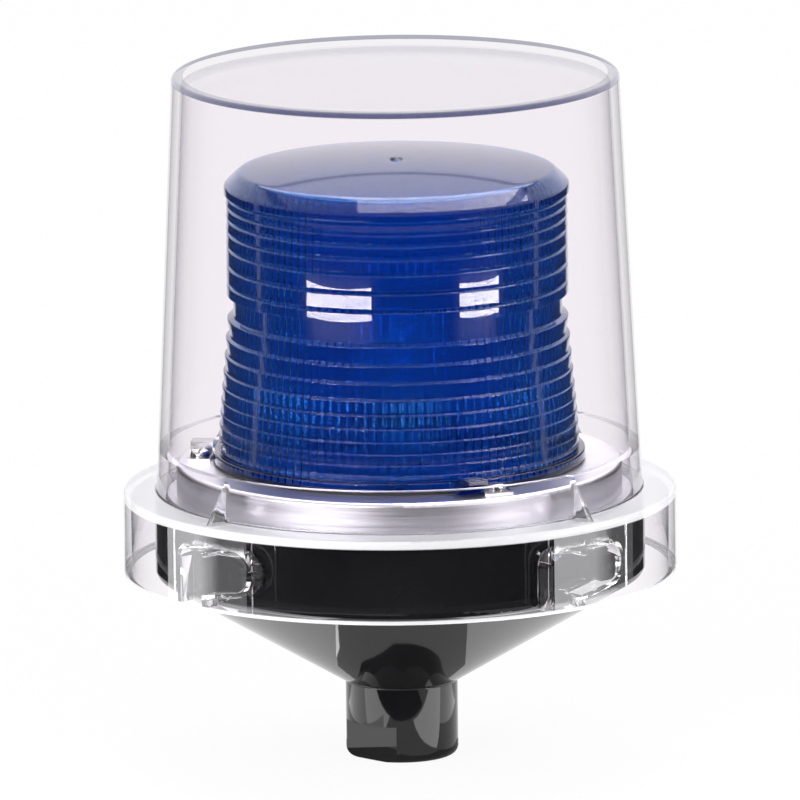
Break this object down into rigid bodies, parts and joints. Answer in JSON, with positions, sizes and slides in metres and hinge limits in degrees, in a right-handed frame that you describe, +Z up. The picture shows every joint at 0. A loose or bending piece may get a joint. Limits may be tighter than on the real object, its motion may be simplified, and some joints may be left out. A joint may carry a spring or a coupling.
{
  "type": "strobe light",
  "caption": "Pipe-mounted strobe light: a clear bayonet dome over a blue ring lens, a metal chassis pan with a plug-in flash tube, and a black cone-shaped housing.",
  "frame": {"origin": "centre of the hub's mouth, where the pipe enters, on the axis that the hub, lens and dome share", "axes": "+Z up along the pipe's axis towards the dome, -Y to the front as pictured, +X to the right"},
  "size_m": [0.185, 0.185, 0.2328],
  "materials": {
    "black_enamel": "gloss black enamel on a die casting",
    "clear_dome": "clear polished polycarbonate",
    "blue_lens": "clear moulded blue plastic",
    "pan_metal": "bright satin",
    "bright_steel": "zinc plated",
    "gasket_rubber": "matt",
    "white_ceramic": "unglazed",
    "contact_brass": "bright",
    "black_moulding": "moulded",
    "tube_glass": "clear",
    "board_green": "solder resist",
    "capacitor_sleeve": "shrink sleeve",
    "winding_tape": "taped winding",
    "heat_sink_metal": "mill",
    "terminal_green": "moulded",
    "ground_green": "green enamel"
  },
  "bodies": {
    "base": {"base_housing": "black_enamel", "dome_gasket": "gasket_rubber", "chassis_pan": "pan_metal", "chassis_screws": "bright_steel", "lens_gasket": "gasket_rubber", "blue_lens": "blue_lens", "lens_clips": "bright_steel", "lens_screws": "bright_steel", "tube_socket": "white_ceramic", "socket_screws": "bright_steel", "socket_contacts": "contact_brass", "circuit_board": "board_green", "board_standoffs": "bright_steel", "board_screws": "bright_steel", "storage_capacitors": "capacitor_sleeve", "power_transformer": "winding_tape", "trigger_transformer": "black_moulding", "power_resistor": "white_ceramic", "heat_sink": "heat_sink_metal", "power_transistor": "black_moulding", "transistor_screw": "bright_steel", "fuse": "tube_glass", "fuse_clips": "bright_steel", "terminal_block": "terminal_green", "terminal_screws": "bright_steel", "ground_screw": "ground_green"},
    "dome": {"outer_dome": "clear_dome", "dome_foot": "clear_dome"},
    "flash_tube": {"tube_base": "black_moulding", "tube_pins": "contact_brass", "tube_cover": "tube_glass", "xenon_tube": "tube_glass", "tube_electrodes": "bright_steel", "trigger_wire": "bright_steel"}
  },
  "joints": [
    {"name": "dome_twist", "type": "hinge", "parent": "base", "child": "dome", "pos_m": [0, 0, 0.09], "axis": [0, 0, 1], "range_deg": [0, 12.4]},
    {"name": "tube_pull", "type": "slide", "parent": "base", "child": "flash_tube", "axis": [0, 0, 1], "range_m": [0, 0.0125]}
  ]
}
